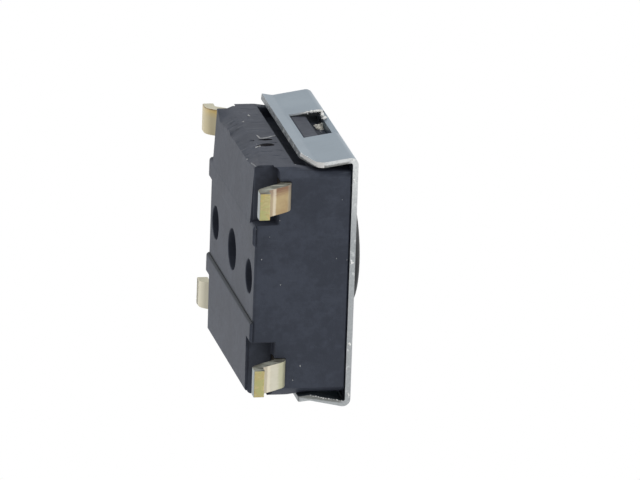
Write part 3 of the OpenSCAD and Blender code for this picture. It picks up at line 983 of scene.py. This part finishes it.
steelGrains = grainTree("steelGrains", burrSteel)
for name, grains in (("windowBurr", "windowGrain"), ("bendBurr", "bendGrain"), ("flapBurr", "flapGrain"),
                     ("glintSpeck", "glintSpeckGrain")):
    grown(name, pathMesh(name, coverWear[name]), steelGrains, coverWear[grains])
flakeGrains = grainTree("flakeGrains", flakeIvory)
grown("lugFlake", pathMesh("lugFlake", coverWear["lugFlake"]), flakeGrains, coverWear["flakeGrain"])
dustGrains = grainTree("dustGrains", dustGrey)
grown("speck", pathMesh("speck", baseWear["speck"]), dustGrains, baseWear["speckGrain"])
for name, ridge, finish in (("fibre", "fibreRidge", dustGrey), ("edgeBurrAndHighlight", "edgeRidge", burrGrey)):
    grown(name, pathMesh(name, baseWear[name]), ridgeTree(ridge, finish), baseWear[ridge])
dustFaces = outerFaces(base, baseHigh, baseWear["dustDepth"])
grown("dust", dustFaces, dustTree("dust", dustGrey), baseWear["dust"])
print("wear made")


# camera, floor and light

photoCamera = {
    "yaw": 11.567, "pitch": 17.174, "roll": 1.990,  # degrees
    "aim": (0.0, 0.1903, 2.4523), "distance": 346.73,
    "focalPixels": 13241.7, "imageWidth": 640, "sensor": 36.0,
    "clip": (10.0, 10000.0),
}


def placeCamera(setup):
    yaw, pitch, roll = (math.radians(setup[turn]) for turn in ("yaw", "pitch", "roll"))
    back = Vector((-math.cos(yaw) * math.cos(pitch), math.sin(pitch), -math.sin(yaw) * math.cos(pitch)))
    level = Vector((-math.sin(yaw), 0.0, math.cos(yaw)))
    upright = back.cross(level)
    right = math.cos(roll) * level + math.sin(roll) * upright
    up = math.cos(roll) * upright - math.sin(roll) * level
    data = bpy.data.cameras.new("photoCamera")
    data.sensor_width = setup["sensor"]
    data.lens = setup["focalPixels"] / setup["imageWidth"] * setup["sensor"]
    data.clip_start, data.clip_end = (reach * mm for reach in setup["clip"])
    camera = bpy.data.objects.new("photoCamera", data)
    camera.matrix_world = Matrix((right, up, back)).transposed().to_4x4()
    camera.location = (Vector(setup["aim"]) + setup["distance"] * back) * mm
    bpy.context.scene.collection.objects.link(camera)
    bpy.context.scene.camera = camera


studio = {
    "brightSide": (0.70, -0.60, 0.0),  # white behind the part, dimmer towards the camera
    "roomDark": 0.38, "roomBright": 1.0, "roomReach": (-0.8, 0.95),
    "mirrorFade": 4.0,  # how fast the white that metal mirrors fades away from the bright side
    "lamps": [
        {"name": "keyBox", "from": (-0.40, 0.45, 0.80), "level": 1.09, "size": 1000},
        {"name": "underBox", "from": (0.15, 0.5, -0.85), "level": 0.63, "size": 500},
    ],
    "lampDistance": 500,
    "floorSize": 3000,
    "floorTone": (0.86, 0.86, 0.86),
}


def lightWorld(setup):
    world = bpy.data.worlds.new("studio")
    bpy.context.scene.world = world
    world.use_nodes = True
    world.node_tree.nodes.clear()
    w = NodeMaker(world.node_tree)
    toward = w.node("ShaderNodeTexCoord", out="Generated")
    bright = w.vector("DOT_PRODUCT", toward, setup["brightSide"], "Value")
    share = w.step(bright, *setup["roomReach"])
    tone = setup["roomDark"] + share * (setup["roomBright"] - setup["roomDark"])
    room = w.node("ShaderNodeBackground", {}, {"Color": (1, 1, 1, 1), "Strength": tone})
    white = w.node("ShaderNodeBackground", {}, {"Color": (1, 1, 1, 1), "Strength": 1.0})
    seen = w.node("ShaderNodeLightPath", out="Is Camera Ray")
    mirrored = seen.other("Is Glossy Ray") + seen.other("Is Transmission Ray")
    shown = seen + mirrored * (share ** setup["mirrorFade"])
    both = w.node("ShaderNodeMixShader", {}, {0: shown, 1: room, 2: white})
    w.node("ShaderNodeOutputWorld", {}, {"Surface": both})


def hangLamp(lamp, distance):
    data = bpy.data.lights.new(lamp["name"], "AREA")
    data.shape = "SQUARE"
    data.size = lamp["size"] * mm
    data.energy = lamp["level"] * math.pi * data.size ** 2  # level 1 is mirrored as white
    light = bpy.data.objects.new(lamp["name"], data)
    toward = Vector(lamp["from"]).normalized()
    light.location = toward * distance * mm
    light.visible_camera = False
    light.rotation_mode = "QUATERNION"
    light.rotation_quaternion = toward.to_track_quat("Z", "Y")
    bpy.context.scene.collection.objects.link(light)


def layFloor(setup):
    # seen from above only, so that the view from under the part stays clear
    half = setup["floorSize"] * mm / 2
    mesh = bpy.data.meshes.new("floor")
    corners = [(-half, -half, 0), (half, -half, 0), (half, half, 0), (-half, half, 0)]
    mesh.from_pydata(corners, [], [(0, 1, 2, 3)])
    floor = placed("floor", mesh)
    f = Finish("floorPaint")
    below = f.node("ShaderNodeNewGeometry", out="Backfacing")
    paint = f.node("ShaderNodeBsdfDiffuse", {}, {"Color": (*setup["floorTone"], 1.0)})
    clear = f.node("ShaderNodeBsdfTransparent")
    sides = f.node("ShaderNodeMixShader", {}, {0: below, 1: paint, 2: clear})
    f.node("ShaderNodeOutputMaterial", {}, {"Surface": sides})
    mesh.materials.append(f.material)
    for ray in ("diffuse", "glossy", "transmission", "volume_scatter", "shadow"):
        setattr(floor, "visible_" + ray, False)


placeCamera(photoCamera)
lightWorld(studio)
for lamp in studio["lamps"]:
    hangLamp(lamp, studio["lampDistance"])
layFloor(studio)
bpy.context.scene.view_settings.view_transform = "Standard"
print("studio set")
